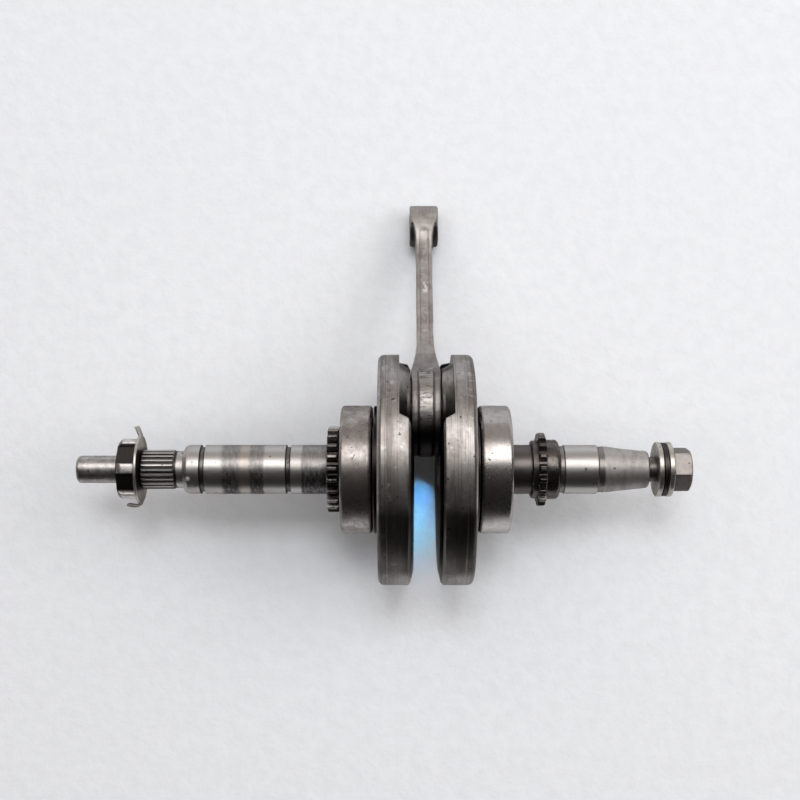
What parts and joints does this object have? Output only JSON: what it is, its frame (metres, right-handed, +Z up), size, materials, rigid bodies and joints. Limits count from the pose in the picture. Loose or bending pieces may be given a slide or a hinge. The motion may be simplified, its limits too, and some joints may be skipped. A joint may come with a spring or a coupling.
{
  "type": "crankshaft",
  "caption": "Built-up single-cylinder crankshaft with round webs, connecting rod, main ball bearings, drive gear, timing sprocket and end fasteners.",
  "frame": {"origin": "on the crank axis, in the middle plane of the connecting rod", "axes": "+X along the shaft towards the flywheel taper, +Y the side the connecting rod lies on, +Z up from the surface that the webs rest on"},
  "size_m": [0.2493, 0.1598, 0.0936],
  "materials": {
    "crank_steel": "turned and ground forging, oily and worn",
    "pin_steel": "ground, hardened",
    "plug_steel": "pressed, dull",
    "rod_steel": "as-forged and shot-blasted, matte",
    "race_steel": "ground bearing steel, satin",
    "roller_steel": "polished bearing steel",
    "cage_steel": "pressed sheet, satin",
    "gear_steel": "case-hardened, dark and oily",
    "washer_steel": "zinc-plated, dulled",
    "nut_steel": "dark, worn bright on the edges",
    "bolt_steel": "dark plating, worn on the corners",
    "spring_steel": "blackened"
  },
  "bodies": {
    "crank": {"left_crank_half": "crank_steel", "right_crank_half": "crank_steel", "crankpin": "pin_steel", "left_pin_plug": "plug_steel", "right_pin_plug": "plug_steel", "left_inner_race": "race_steel", "right_inner_race": "race_steel", "oil_pump_drive_gear": "gear_steel", "timing_sprocket": "gear_steel", "tab_washer": "washer_steel", "lock_nut": "nut_steel", "flywheel_bolt": "bolt_steel", "inner_plain_washer": "washer_steel", "spring_washer": "spring_steel", "outer_plain_washer": "washer_steel"},
    "rod": {"connecting_rod": "rod_steel"},
    "needle_set": {"needle_cage": "cage_steel", "needle_rollers": "roller_steel"},
    "left_race": {"left_outer_race": "race_steel"},
    "left_ball_set": {"left_balls": "roller_steel", "left_cage_inner_half": "cage_steel", "left_cage_outer_half": "cage_steel", "left_cage_rivets": "cage_steel"},
    "right_race": {"right_outer_race": "race_steel"},
    "right_ball_set": {"right_balls": "roller_steel", "right_cage_inner_half": "cage_steel", "right_cage_outer_half": "cage_steel", "right_cage_rivets": "cage_steel"}
  },
  "joints": [
    {"name": "rod_swing", "type": "hinge", "parent": "crank", "child": "rod", "pos_m": [0, 0.02326, 0.00847], "axis": [1, 0, 0], "continuous": true},
    {"name": "needle_roll", "type": "hinge", "parent": "crank", "child": "needle_set", "pos_m": [0, 0.02326, 0.00847], "axis": [1, 0, 0], "continuous": true},
    {"name": "left_race_spin", "type": "hinge", "parent": "crank", "child": "left_race", "pos_m": [-0.0277, 0, 0], "axis": [1, 0, 0], "continuous": true},
    {"name": "left_ball_roll", "type": "hinge", "parent": "crank", "child": "left_ball_set", "pos_m": [-0.0277, 0, 0], "axis": [1, 0, 0], "continuous": true},
    {"name": "right_race_spin", "type": "hinge", "parent": "crank", "child": "right_race", "pos_m": [0.0277, 0, 0], "axis": [1, 0, 0], "continuous": true},
    {"name": "right_ball_roll", "type": "hinge", "parent": "crank", "child": "right_ball_set", "pos_m": [0.0277, 0, 0], "axis": [1, 0, 0], "continuous": true}
  ],
  "couplings": [
    {"joint": "needle_roll", "follows": "rod_swing", "ratio": 0.55769},
    {"joint": "left_ball_roll", "follows": "left_race_spin", "ratio": 0.63222},
    {"joint": "right_ball_roll", "follows": "right_race_spin", "ratio": 0.63222}
  ]
}
